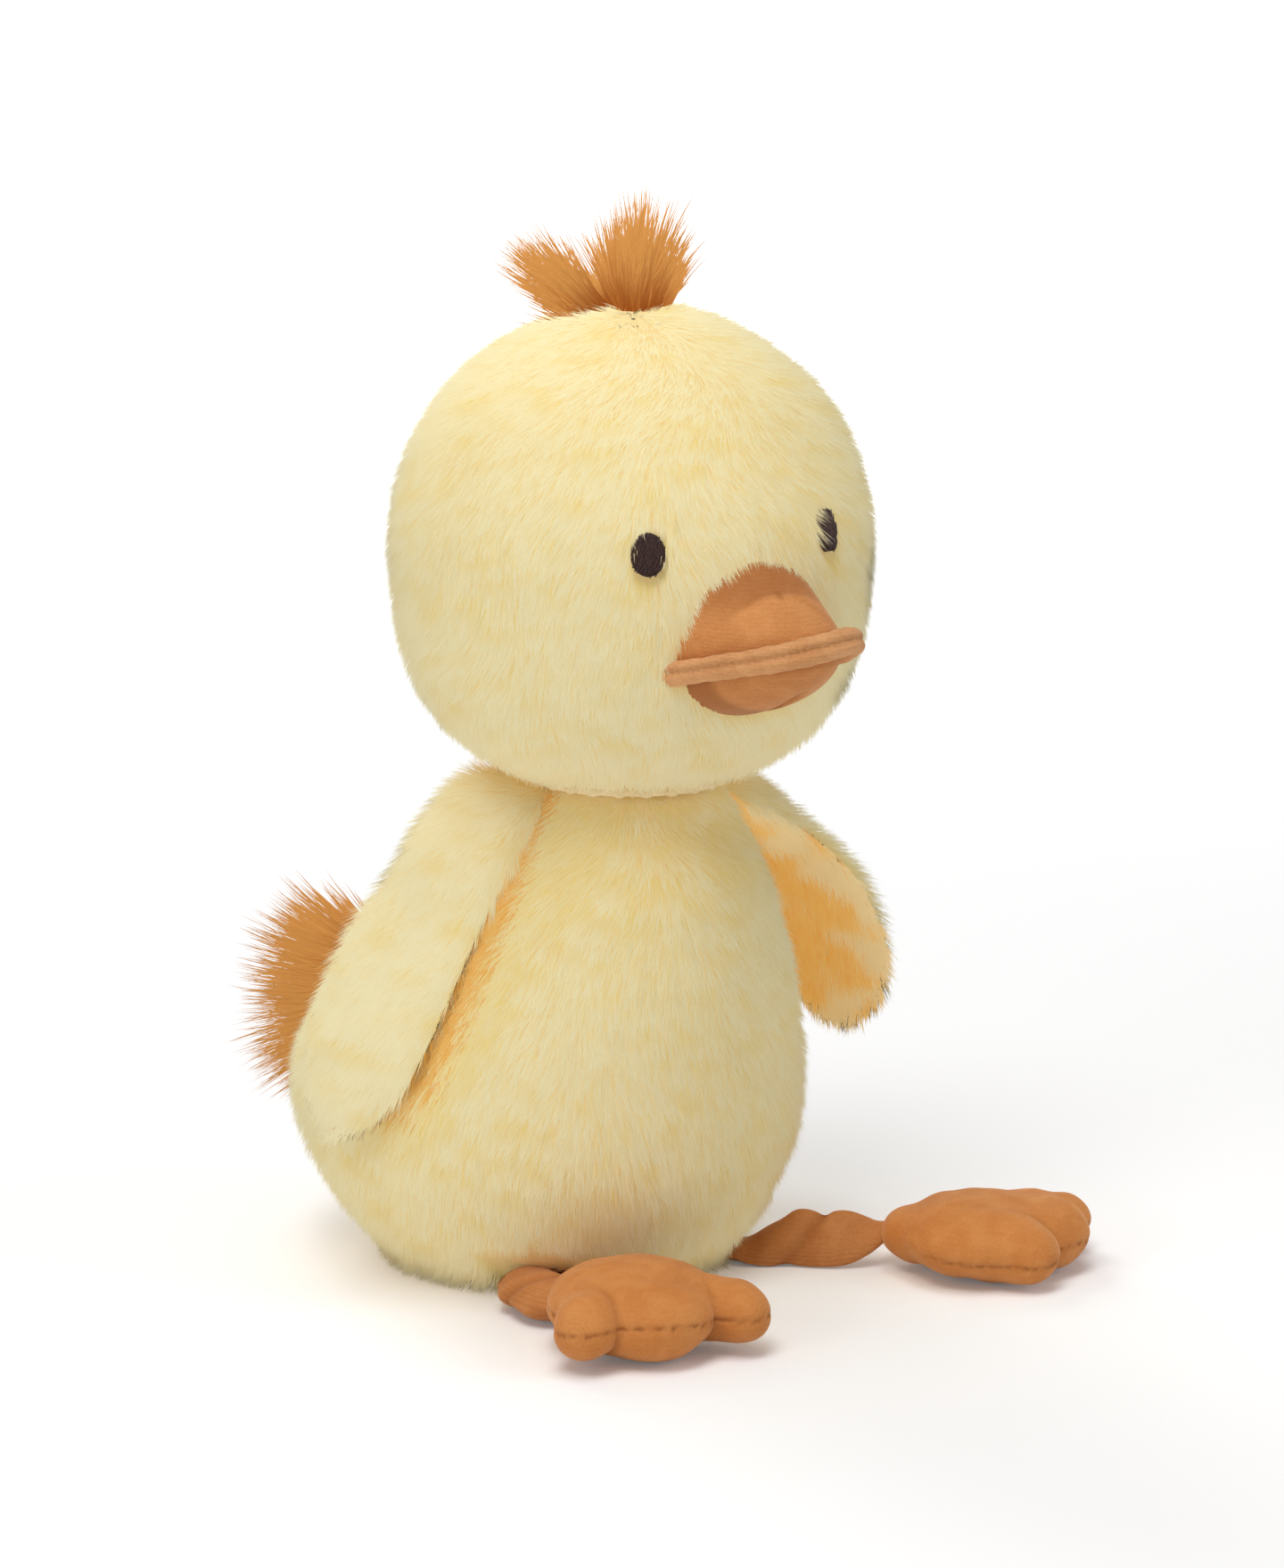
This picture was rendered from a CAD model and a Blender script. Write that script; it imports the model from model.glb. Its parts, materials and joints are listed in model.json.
import json
import math

import bpy
import numpy as np
from mathutils import Matrix, Vector
from mathutils.bvhtree import BVHTree


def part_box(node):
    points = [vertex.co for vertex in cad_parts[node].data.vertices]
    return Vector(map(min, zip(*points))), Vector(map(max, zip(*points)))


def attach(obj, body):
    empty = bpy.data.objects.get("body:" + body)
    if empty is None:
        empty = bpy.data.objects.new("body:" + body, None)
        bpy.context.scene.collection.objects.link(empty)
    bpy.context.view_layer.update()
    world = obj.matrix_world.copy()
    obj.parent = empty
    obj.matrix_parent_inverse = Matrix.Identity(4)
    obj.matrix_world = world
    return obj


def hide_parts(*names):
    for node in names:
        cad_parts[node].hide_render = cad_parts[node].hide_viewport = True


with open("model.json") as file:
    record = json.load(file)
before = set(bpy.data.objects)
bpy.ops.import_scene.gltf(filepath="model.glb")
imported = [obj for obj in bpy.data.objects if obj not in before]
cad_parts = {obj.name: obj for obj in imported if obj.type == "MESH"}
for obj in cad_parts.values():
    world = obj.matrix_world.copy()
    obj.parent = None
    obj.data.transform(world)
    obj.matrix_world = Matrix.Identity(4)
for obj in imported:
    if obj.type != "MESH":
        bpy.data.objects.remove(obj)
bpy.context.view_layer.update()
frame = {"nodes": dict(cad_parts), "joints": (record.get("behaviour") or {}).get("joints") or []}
jointPlace = {joint["name"]: np.array(joint["pos_m"]) for joint in frame["joints"]}
jointAxis = {joint["name"]: np.array(joint["axis"], float) for joint in frame["joints"]}
sides = {"right": -1, "left": 1}  # the sign of x on each side
pileShare = 1.0
lockShare = 1.0
print("frame loaded")

# camera, at the photograph's angle
cameraFacts = {
    "place": (-0.8442, -1.1170, 0.3970),
    "right": (0.78801, -0.61566, 0.0),
    "up": (0.11747, 0.15036, 0.98163),
    "back": (-0.60435, -0.77353, 0.19081),
    "lens": 155.875,
    "sensor": 36.0,
}


def addObject(name, data):
    made = bpy.data.objects.new(name, data)
    bpy.context.scene.collection.objects.link(made)
    return made


def makeCamera(facts):
    camera = bpy.data.cameras.new("photoCamera")
    camera.lens = facts["lens"]
    camera.sensor_width = facts["sensor"]
    camera.sensor_fit = "HORIZONTAL"
    camera.clip_start = 0.05
    camera.clip_end = 30
    holder = addObject("photoCamera", camera)
    axes = Matrix((facts["right"], facts["up"], facts["back"])).transposed()
    holder.matrix_world = Matrix.Translation(facts["place"]) @ axes.to_4x4()
    bpy.context.scene.camera = holder


makeCamera(cameraFacts)
print("camera set")


# small tools for arrays of points
def unit(rows):
    return rows / np.maximum(np.linalg.norm(rows, axis=-1, keepdims=True), 1e-12)


def dots(first, second):
    return (first * second).sum(-1, keepdims=True)


def flatTo(rows, normals):  # the part of each row that lies in the surface
    return unit(rows - normals * dots(rows, normals))


def swung(first, second, turn):  # the first way, swung towards the second
    turn = np.reshape(turn, (-1, 1))
    return first * np.cos(turn) + second * np.sin(turn)


def smoothStep(values, low, high):
    share = np.clip((values - low) / (high - low), 0, 1)
    return share * share * (3 - 2 * share)


def bell(values, width):  # 1 at zero, falling softly on both sides
    return np.exp(-((values / width) ** 2))


def fullTurn(count):
    return np.linspace(0, 2 * math.pi, count, endpoint=False)


def oval(turns, across, up):  # a ring of points about the origin
    return np.outer(np.cos(turns), across) + np.outer(np.sin(turns), up)


def turned(rows, matrix):
    spin = np.array(matrix)
    return rows @ spin[:3, :3].T + spin[:3, 3]


def softNoise(points, size, seed):  # smooth uneven values, about -1 to 1
    luck = np.random.default_rng(seed)
    total = np.zeros(len(points))
    for _ in range(7):
        way = luck.normal(size=3)
        way *= 2 * math.pi / (np.linalg.norm(way) * size * luck.uniform(0.7, 1.6))
        total += np.sin(points @ way + luck.uniform(0, 2 * math.pi))
    return np.clip(total / 2.6, -1.3, 1.3)


def cellLuck(cells, seed):  # three steady uneven numbers for each cell
    mixed = cells.astype(np.uint64)
    key = mixed[:, 0] * np.uint64(73856093) ^ mixed[:, 1] * np.uint64(19349663)
    key ^= mixed[:, 2] * np.uint64(83492791) ^ np.uint64(seed * 2654435761 % 2**32)
    values = []
    for _ in range(3):
        key ^= key >> np.uint64(31)
        key *= np.uint64(11400714819323198485 % 2**64)
        key ^= key >> np.uint64(29)
        values.append((key % np.uint64(100003)).astype(float) / 100003)
    return np.stack(values, -1)


def nearestClump(points, size, seed):  # the clump that each point belongs to
    base = np.floor(points / size).astype(np.int64)
    best = np.full(len(points), np.inf)
    centre = np.zeros_like(points)
    luck = np.zeros_like(points)
    for step in np.ndindex(3, 3, 3):
        cell = base + (np.array(step) - 1)
        place = (cell + cellLuck(cell + 4096, seed)) * size
        distance = ((place - points) ** 2).sum(-1)
        nearer = distance < best
        best[nearer] = distance[nearer]
        centre[nearer] = place[nearer]
        luck[nearer] = cellLuck(cell[nearer] + 4096, seed + 17)
    return centre, luck


def smoothTable(table, places):  # a smooth curve through every row of the table
    rows = np.array(table, float)
    keys = rows[:, 0]
    slopes = np.gradient(rows[:, 1:], keys, axis=0)
    index = np.clip(np.searchsorted(keys, places, side="right") - 1, 0, len(keys) - 2)
    width = (keys[index + 1] - keys[index])[:, None]
    share = np.clip((places[:, None] - keys[index][:, None]) / width, 0, 1)
    low, high = rows[index, 1:], rows[index + 1, 1:]
    lowSlope, highSlope = slopes[index] * width, slopes[index + 1] * width
    square, cube = share**2, share**3
    kept = low * (2 * cube - 3 * square + 1) + high * (3 * square - 2 * cube)
    return kept + lowSlope * (cube - 2 * square + share) + highSlope * (cube - square)


# closed surfaces from rings of points
def crossEdges(corners):
    return np.cross(corners[:, 1] - corners[:, 0], corners[:, 2] - corners[:, 0])


def reshaped(surface, points):  # the same faces on other points, with their normals
    triangles = surface["triangles"]
    across = crossEdges(points[triangles])
    normals = np.zeros_like(points)
    for corner in range(3):
        np.add.at(normals, triangles[:, corner], across)
    return dict(surface, points=points, normals=unit(normals))


def moved(surface, distance):  # the surface moved out along its normals
    shift = surface["normals"] * np.reshape(distance, (-1, 1))
    return reshaped(surface, surface["points"] + shift)


def onFloor(surface, points, height):  # the surface on these points, none of them below the height
    return reshaped(surface, np.maximum(points, (-math.inf, -math.inf, height)))


def closedGrid(rings, startTip, endTip):
    rows, columns = rings.shape[:2]
    points = np.vstack([rings.reshape(-1, 3), startTip, endTip])
    index = np.arange(rows * columns).reshape(rows, columns)
    after = np.roll(index, -1, axis=1)
    quads = np.stack([index[:-1], after[:-1], after[1:], index[1:]], -1).reshape(-1, 4)
    start = np.full(columns, rows * columns)
    startFan = np.stack([after[0], index[0], start], -1)
    endFan = np.stack([index[-1], after[-1], start + 1], -1)
    triangles = np.vstack([quads[:, [0, 1, 2]], quads[:, [0, 2, 3]], startFan, endFan])
    faces = quads.tolist() + startFan.tolist() + endFan.tolist()
    corners = points[triangles] - points.mean(0)
    volume = (corners[:, 0] * np.cross(corners[:, 1], corners[:, 2])).sum()
    if volume < 0:  # the faces look inward, so they are turned over
        faces = [face[::-1] for face in faces]
        triangles = triangles[:, ::-1]
    return reshaped({"faces": faces, "triangles": triangles}, points)


def closedTube(rings):
    return closedGrid(rings, rings[:1].mean(1), rings[-1:].mean(1))


def treeOf(surface):
    return BVHTree.FromPolygons(surface["points"].tolist(), surface["triangles"].tolist())


def distances(tree, points):
    return np.array([tree.find_nearest(point)[3] for point in points.tolist()])


def scatter(surface, count, seed):  # even random places on the surface
    luck = np.random.default_rng(seed)
    areas = np.linalg.norm(crossEdges(surface["points"][surface["triangles"]]), axis=1)
    running = np.cumsum(areas)
    chosen = np.searchsorted(running, luck.random(count) * running[-1])
    chosen = np.minimum(chosen, len(areas) - 1)
    first, second = luck.random(count), luck.random(count)
    over = first + second > 1
    first[over], second[over] = 1 - first[over], 1 - second[over]
    weights = np.stack([1 - first - second, first, second], -1)[:, :, None]
    corners = surface["triangles"][chosen]
    places = (surface["points"][corners] * weights).sum(1)
    normals = unit((surface["normals"][corners] * weights).sum(1))
    return places, normals


def dress(piece, body, nodes=()):
    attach(piece, body)
    if nodes:
        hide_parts(*nodes)


def makePiece(name, surface, material, body, nodes=(), values=None):
    mesh = bpy.data.meshes.new(name)
    mesh.from_pydata(surface["points"].tolist(), [], surface["faces"])
    for label, numbers in (values or {}).items():
        layer = mesh.attributes.new(label, "FLOAT", "POINT")
        layer.data.foreach_set("value", np.asarray(numbers, np.float32))
    mesh.shade_smooth()
    mesh.materials.append(material)
    dress(addObject(name, mesh), body, nodes)


# shader tools: an input takes a number, a colour or another node's output
def fillInputs(tree, node, inputs):
    for label, value in inputs.items():
        if isinstance(value, bpy.types.NodeSocket):
            tree.links.new(value, node.inputs[label])
        else:
            node.inputs[label].default_value = (*value, 1) if isinstance(value, tuple) else value


def addNode(tree, kind, inputs=None, **settings):
    node = tree.nodes.new(kind)
    for name, value in settings.items():
        setattr(node, name, value)
    fillInputs(tree, node, inputs or {})
    return node


def newGroup(name, inputs, outputs):
    group = bpy.data.node_groups.new(name, "ShaderNodeTree")
    for label, value in inputs.items():
        colour = isinstance(value, tuple)
        kind = "NodeSocketColor" if colour else "NodeSocketFloat"
        socket = group.interface.new_socket(name=label, in_out="INPUT", socket_type=kind)
        socket.default_value = (*value, 1) if colour else value
    for label, kind in outputs.items():
        group.interface.new_socket(name=label, in_out="OUTPUT", socket_type=kind)
    return group, group.nodes.new("NodeGroupInput").outputs, group.nodes.new("NodeGroupOutput")


def mixColour(tree, factor, first, second):
    inputs = {0: factor, 6: first, 7: second}
    return addNode(tree, "ShaderNodeMix", inputs, data_type="RGBA").outputs[2]


def mathNode(tree, operation, *values):
    inputs = dict(enumerate(values))
    return addNode(tree, "ShaderNodeMath", inputs, operation=operation).outputs[0]


def ranged(tree, value, low, high, start=0.0, end=1.0):
    inputs = {"Value": value, "From Min": low, "From Max": high, "To Min": start, "To Max": end}
    return addNode(tree, "ShaderNodeMapRange", inputs, interpolation_type="SMOOTHSTEP").outputs["Result"]


def newMaterial(name, inputs):
    material = bpy.data.materials.new(name)
    material.use_nodes = True
    shader = material.node_tree.nodes["Principled BSDF"]
    fillInputs(material.node_tree, shader, inputs)
    return material, material.node_tree, shader


# colours of the pile: patches fade towards the tips
yellowLook = {
    "root": (0.93, 0.72, 0.29), "tip": (0.98, 0.875, 0.54), "patch": (0.93, 0.71, 0.25),
    "patchReach": 0.85, "tipFade": 0.72,
}
innerLook = dict(yellowLook, root=(0.90, 0.42, 0.08), tip=(0.93, 0.57, 0.17), patch=(0.90, 0.47, 0.11))
wingInnerLook = dict(innerLook, patch=(0.88, 0.68, 0.35), patchReach=1.0, tipFade=0.2)
lockLook = {
    "root": (0.33, 0.080, 0.012), "tip": (0.74, 0.325, 0.082), "patch": (0.55, 0.18, 0.034),
    "patchReach": 0.6, "tipFade": 1.0,
}


def makeStrandGroup():  # colour along a strand of pile, and from strand to strand
    outputs = {"Color": "NodeSocketColor", "Along": "NodeSocketFloat"}
    group, source, sink = newGroup("strandTint", yellowLook, outputs)
    place = addNode(group, "ShaderNodeUVMap", uv_map="OFBake").outputs[0]
    parts = addNode(group, "ShaderNodeSeparateXYZ", {0: place}).outputs
    along = ranged(group, parts[1], 0.05, 0.85)
    plain = mixColour(group, along, source["root"], source["tip"])
    patch = ranged(group, parts[0], 0.45, 0.98)
    fading = mathNode(group, "SUBTRACT", 1.15, mathNode(group, "MULTIPLY", along, source["tipFade"]))
    amount = mathNode(group, "MULTIPLY", patch, fading)
    amount = mathNode(group, "MULTIPLY", amount, source["patchReach"])
    amount = mathNode(group, "MINIMUM", amount, 1.0)
    colour = mixColour(group, amount, plain, source["patch"])
    fillInputs(group, sink, {"Color": colour, "Along": along})
    return group


strandGroup = makeStrandGroup()


def strandMaterial(name, look, glow=0.0):  # the glow stands for light that comes through
    material, tree, shader = newMaterial(name, {"Specular IOR Level": 0.0})
    tint = addNode(tree, "ShaderNodeGroup", look, node_tree=strandGroup).outputs
    rough = ranged(tree, tint["Along"], 0, 1, 0.85, 0.6)
    fillInputs(tree, shader, {"Base Color": tint["Color"], "Roughness": rough})
    if glow:
        fillInputs(tree, shader, {"Emission Color": tint["Color"], "Emission Strength": glow})
    return material


yellowPile = strandMaterial("yellowPile", yellowLook)
innerPile = strandMaterial("innerPile", innerLook)
wingInnerPile = strandMaterial("wingInnerPile", wingInnerLook, 0.22)
orangeLocks = strandMaterial("orangeLocks", lockLook)

# short brushed nap: fine fibres over soft brushed patches
napPattern = {"fibreScale": 1500.0, "patchScale": 110.0, "rowScale": 240.0, "rows": 0.04, "patches": 0.22}
napLook = dict(
    napPattern, deep=(0.53, 0.175, 0.037), pale=(0.70, 0.305, 0.093), dark=(0.27, 0.080, 0.018),
    sheen=0.35, sheenTint=(1.0, 0.72, 0.48), bump=0.35,
)
backingLook = dict(
    napLook, deep=(0.88, 0.62, 0.24), pale=(0.95, 0.75, 0.36), sheen=0.1, sheenTint=(1.0, 0.85, 0.55),
)


def makeNapGroup():
    outputs = {"Tint": "NodeSocketFloat", "Height": "NodeSocketFloat"}
    group, source, sink = newGroup("brushedNap", napPattern, outputs)
    place = addNode(group, "ShaderNodeTexCoord").outputs["Object"]

    def pattern(kind, scale, inputs, **settings):
        inputs.update({"Vector": place, "Scale": source[scale]})
        return addNode(group, kind, inputs, **settings).outputs["Fac"]

    fibre = pattern("ShaderNodeTexNoise", "fibreScale", {"Detail": 3, "Roughness": 0.65})
    patch = pattern("ShaderNodeTexNoise", "patchScale", {"Detail": 4, "Distortion": 0.6})
    waves = {"Distortion": 5, "Detail": 2, "Detail Scale": 1.6}
    rows = pattern("ShaderNodeTexWave", "rowScale", waves, wave_type="BANDS", bands_direction="Z")
    rowPart = mathNode(group, "MULTIPLY", rows, source["rows"])
    fibrePart = mathNode(group, "MULTIPLY", fibre, 0.45)
    patchPart = ranged(group, patch, 0.3, 0.7, -0.5, 0.5)
    patchPart = mathNode(group, "MULTIPLY_ADD", patchPart, source["patches"], 0.27)
    tint = mathNode(group, "ADD", mathNode(group, "ADD", fibrePart, patchPart), rowPart)
    fillInputs(group, sink, {"Tint": tint, "Height": mathNode(group, "ADD", fibre, rowPart)})
    return group


napGroup = makeNapGroup()


# marks: a point value, its share of dark colour, its depth, and for waves their rate and reach
def napMaterial(name, look, marks=()):
    material, tree, shader = newMaterial(name, {
        "Roughness": 0.8, "Specular IOR Level": 0.2, "Sheen Weight": look["sheen"],
        "Sheen Roughness": 0.35, "Sheen Tint": look["sheenTint"],
    })
    sizes = {label: look[label] for label in napPattern}
    nap = addNode(tree, "ShaderNodeGroup", sizes, node_tree=napGroup).outputs
    colour = mixColour(tree, ranged(tree, nap["Tint"], 0.15, 0.95), look["deep"], look["pale"])
    height = nap["Height"]
    for label, darkShare, depth, *wave in marks:
        mask = addNode(tree, "ShaderNodeAttribute", attribute_name=label).outputs["Fac"]
        if wave:
            rate, reach = wave
            near = ranged(tree, mask, 0.0, reach, 1.0, 0.0)
            ripple = mathNode(tree, "SINE", mathNode(tree, "MULTIPLY", mask, rate))
            mask = mathNode(tree, "MULTIPLY", mathNode(tree, "MULTIPLY_ADD", ripple, 0.5, 0.5), near)
        colour = mixColour(tree, mathNode(tree, "MULTIPLY", mask, darkShare), colour, look["dark"])
        height = mathNode(tree, "MULTIPLY_ADD", mask, -depth, height)
    relief = {"Strength": look["bump"], "Distance": 0.0006, "Height": height}
    bump = addNode(tree, "ShaderNodeBump", relief).outputs[0]
    fillInputs(tree, shader, {"Base Color": colour, "Normal": bump})
    return material


pileBacking = napMaterial("pileBacking", backingLook)
print("materials ready")


# strands of pile: thin three-sided spikes, which a thin value flattens onto the cloth
toneEnds = (0.02, 0.98)


def addStrands(name, paths, normals, widths, tones, seed, material, thin=None):
    luck = np.random.default_rng(seed)
    count, steps = len(paths), paths.shape[1] - 1
    each = 3 * steps + 1
    heading = unit(paths[:, -1] - paths[:, 0])
    across = unit(np.cross(heading, normals))
    facing = np.cross(across, heading) * (thin or 1)
    shares = np.arange(steps) / steps
    half = widths[:, None] * (1 - shares[None, :] ** 1.6 * 0.75) / 2
    upright = unit(normals + 0.07 * luck.normal(size=(count, 3)))
    block = np.empty((count, each, 3), np.float32)
    shading = np.empty((count, each, 3), np.float32)
    mapped = np.empty((count, each, 2), np.float32)
    spin = np.full(count, math.pi / 2) if thin else luck.random(count) * 2 * math.pi
    for corner in range(3):
        rows = slice(corner, 3 * steps, 3)
        way = swung(across, facing, spin + corner * 2 * math.pi / 3)
        block[:, rows] = paths[:, :-1] + way[:, None] * half[:, :, None]
        shading[:, rows] = unit(upright + 0.16 * way)[:, None]
        mapped[:, rows, 0] = (tones * 0.96 + 0.01 * corner)[:, None]
        mapped[:, rows, 1] = shares * 0.96 + 0.02
    block[:, -1] = paths[:, -1]
    shading[:, -1] = unit(upright + 0.15 * heading)
    mapped[:, -1] = np.stack([tones * 0.96 + 0.01, np.full(count, 0.98)], -1)
    pattern, starts = [], []
    for step in range(steps):
        for corner in range(3):
            low, after = 3 * step + corner, 3 * step + (corner + 1) % 3
            starts.append(len(pattern))
            pattern += [low, low + 3, after + 3, after] if step < steps - 1 else [low, 3 * steps, after]
    loops = (np.arange(count)[:, None] * each + np.array(pattern)).ravel()
    loopStarts = (np.arange(count)[:, None] * len(pattern) + np.array(starts)).ravel()
    mesh = bpy.data.meshes.new(name)
    mesh.vertices.add(count * each)
    mesh.vertices.foreach_set("co", block.ravel())
    mesh.loops.add(len(loops))
    mesh.loops.foreach_set("vertex_index", loops.astype(np.int32))
    mesh.polygons.add(len(loopStarts))
    mesh.polygons.foreach_set("loop_start", loopStarts.astype(np.int32))
    mesh.update(calc_edges=True)
    layer = mesh.uv_layers.new(name="OFBake")
    layer.uv.foreach_set("vector", mapped.reshape(-1, 2)[loops].ravel())
    mesh.shade_smooth()
    mesh.normals_split_custom_set_from_vertices(shading.reshape(-1, 3))
    mesh.materials.append(material)
    piece = addObject(name, mesh)
    piece.visible_shadow = piece.visible_diffuse = False  # fine fibres let the light through
    return piece


def strandPaths(roots, normals, ways, lengths, flatness, coat, seed):
    luck = np.random.default_rng(seed)
    count = len(roots)
    centre, clump = nearestClump(roots, coat["clumpSize"], seed)
    wideCentre, wideClump = nearestClump(roots, coat["wideSize"], seed + 3)
    turn = coat["swirl"] * softNoise(roots, coat["swirlSize"], seed + 5)
    turn += coat["clumpTurn"] * (clump[:, 0] + wideClump[:, 0] - 1)
    turn += coat["strandTurn"] * luck.normal(size=count)
    ways = swung(ways, np.cross(normals, ways), turn)
    raised = coat["clumpLift"] * (clump[:, 1] - 0.5) + coat["strandLift"] * luck.normal(size=count)
    lengths = lengths * (1 + coat["uneven"] * (luck.random(count) + wideClump[:, 1] - 1))
    starts = roots - normals * coat["rootDepth"]
    heading = swung(normals, ways, math.radians(coat["lean"]) * flatness + raised)
    tips = starts + heading * lengths[:, None]
    for target, pull in ((centre, coat["gather"]), (wideCentre, coat["wideGather"])):
        shift = target - roots
        tips += (shift - normals * dots(shift, normals)) * pull
    tones = 0.42 + 0.42 * softNoise(roots * coat["toneStretch"], coat["toneSize"], seed + 9)
    tones += 0.16 * softNoise(roots, coat["toneSize"] * 2.7, seed + 8) + 0.16 * (clump[:, 2] - 0.5)
    tones += 0.18 * (wideClump[:, 2] - 0.5) + 0.08 * luck.normal(size=count)
    return np.stack([starts, tips], 1), np.clip(tones, *toneEnds)


# comb gives each root's way, keep its share of the length, shy says which tips are in the way
def growPile(name, skin, coat, comb, keep, material, body, shy=None, tint=None):
    seed = coat["seed"]
    roots, normals = scatter(skin, int(coat["count"] * pileShare), seed)
    amount = keep(roots, normals)
    luck = np.random.default_rng(seed + 1)
    stays = amount > 0.08 + 0.25 * luck.random(len(roots)) * (amount < 0.4)
    roots, normals, amount = roots[stays], normals[stays], amount[stays]
    combed = comb(roots, normals)
    ways = flatTo(combed, normals)
    flatness = np.minimum(np.linalg.norm(combed, axis=1), coat["flattest"])
    lengths = coat["length"] * amount
    if shy:
        heading = swung(normals, ways, math.radians(coat["lean"]))
        for _ in range(9):
            lengths = np.where(shy(roots + heading * lengths[:, None]), lengths * 0.8, lengths)
    paths, tones = strandPaths(roots, normals, ways, lengths, flatness, coat, seed + 2)
    if tint:
        tones = np.clip(tones + tint(roots), *toneEnds)
    lowest = coat["floorGap"] + coat["floorSpread"] * luck.random(len(roots))
    paths[:, :, 2] = np.maximum(paths[:, :, 2], lowest[:, None])
    widths = coat["width"] * (0.7 + 0.6 * luck.random(len(roots))) / math.sqrt(pileShare)
    widths *= np.clip(lengths / coat["length"], 0.5, 1)
    facing = unit(normals * np.where(normals[:, 2:] < 0, (1, 1, coat["under"]), 1))
    dress(addStrands(name, paths, facing, widths, tones, seed + 4, material, coat["thin"]), body)
    print(name, len(roots), "strands")


# head
headFacts = {
    "size": (0.1195, 0.1180, 0.1215), "lift": 0.0730, "fullness": 0.26, "bulge": 0.0025,
    "muzzleDrop": 17, "turn": -6, "inset": 0.0016,
}
neckCentre = jointPlace["head_turn"]
headCentre = neckCentre + np.array((0, 0, headFacts["lift"]))
aboutNeck = Matrix.Translation(neckCentre) @ Matrix.Rotation(math.radians(headFacts["turn"]), 4, "Z")
aboutNeck = aboutNeck @ Matrix.Translation(-Vector(neckCentre))


def headPoints(ways):
    size = np.array(headFacts["size"]) / 2
    drop = math.radians(headFacts["muzzleDrop"])
    near = np.maximum(0, -ways[:, 1] * math.cos(drop) - ways[:, 2] * math.sin(drop))
    fuller = 1 + headFacts["fullness"] * np.maximum(0, -ways[:, 2]) ** 2
    points = ways * size
    points[:, :2] *= fuller[:, None]
    points += ways * (headFacts["bulge"] * near**6)[:, None]
    return turned(points + headCentre, aboutNeck)


def makeHeadSurface():
    lats = np.radians(np.linspace(-88, 88, 90))
    lat, turn = np.meshgrid(lats, fullTurn(150), indexing="ij")
    ways = np.stack([np.cos(lat) * np.cos(turn), np.cos(lat) * np.sin(turn), np.sin(lat)], -1)
    rings = headPoints(ways.reshape(-1, 3)).reshape(*ways.shape)
    ends = headPoints(np.array([(0, 0, -1.0), (0, 0, 1.0)]))
    return closedGrid(rings, ends[:1], ends[1:])


headSurface = makeHeadSurface()
headTree = treeOf(headSurface)
headSkin = moved(headSurface, -headFacts["inset"])
makePiece("headSkin", headSkin, pileBacking, "head", ["head_cover"])

# beak
beakFacts = {
    "width": 0.0480, "reach": 0.035, "rise": 0.0235, "drop": 0.0117, "tilt": 13, "sink": 0.18,
    "rim": 0.0028, "seam": 0.0004, "lip": 0.0006, "square": 0.88, "tipCurl": 0.0028, "pout": 0.0012,
    "groove": 0.30, "grooveTurn": 0.10, "grooveWidth": 0.30,
    "peak": 0.010,  # half the width of the peak in the middle of the dome
    "hem": 0.0072,  # how far the seam of the dome is from the head
}
seatOut = -headFacts["size"][1] / 2 + beakFacts["reach"] * beakFacts["sink"]
seat = headCentre + np.array((0, seatOut, -beakFacts["rise"]))
beakPlace = aboutNeck @ Matrix.Translation(seat) @ Matrix.Rotation(math.pi, 4, "Z")
beakPlace = beakPlace @ Matrix.Rotation(math.radians(beakFacts["tilt"]), 4, "X")
intoBeak = beakPlace.inverted()

# eyes: the far one sits nearer to the beak, and pile lies over its inner edge
eyeFacts = {
    "width": 0.0088, "height": 0.0110, "deep": 0.014,
    "spread": {"right": 0.0275, "left": 0.0222},
    "raise": {"right": 0.0060, "left": 0.0084},
    "widthShare": {"right": 1, "left": 0.66},
    "bareShare": {"right": 0.90, "left": 0.62},
}
farOff = 9  # a measure for points that aren't near the eye or the beak


def eyePlace(side, sign):
    spread, lift = eyeFacts["spread"][side], eyeFacts["raise"][side]
    size = headFacts["size"]
    depth = math.sqrt(1 - (2 * spread / size[0]) ** 2 - (2 * lift / size[2]) ** 2)
    out = Vector((sign * spread, -depth * size[1] / 2, lift))
    turn = out.to_track_quat("Z", "Y").to_matrix().to_4x4()
    return aboutNeck @ Matrix.Translation(Vector(headCentre) + out) @ turn


eyePlaces = {side: eyePlace(side, sign) for side, sign in sides.items()}


def eyeMeasure(points, side):  # 1 on the eye's edge
    local = turned(points, eyePlaces[side].inverted())
    flat = np.hypot(local[:, 0] / (eyeFacts["width"] / 2), local[:, 1] / (eyeFacts["height"] / 2))
    return np.where(np.abs(local[:, 2]) < eyeFacts["deep"], flat, farOff)


def beakMeasure(points):  # 1 on the beak's foot
    across, out, up = turned(points, intoBeak).T
    wide = across / (beakFacts["width"] / 2 - 0.0005) / np.where(up > -0.001, 1, 0.86)
    rise = beakFacts["rise"] * (1 + 0.13 * bell(across, beakFacts["peak"]))
    tall = np.where(up > 0, up / rise, up / beakFacts["drop"])
    power = np.where(up > 0, 2.2, 2.0)
    measure = (np.abs(wide) ** power + np.abs(tall) ** power) ** (1 / power)
    return np.where(out > -0.02, measure, farOff)


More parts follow.
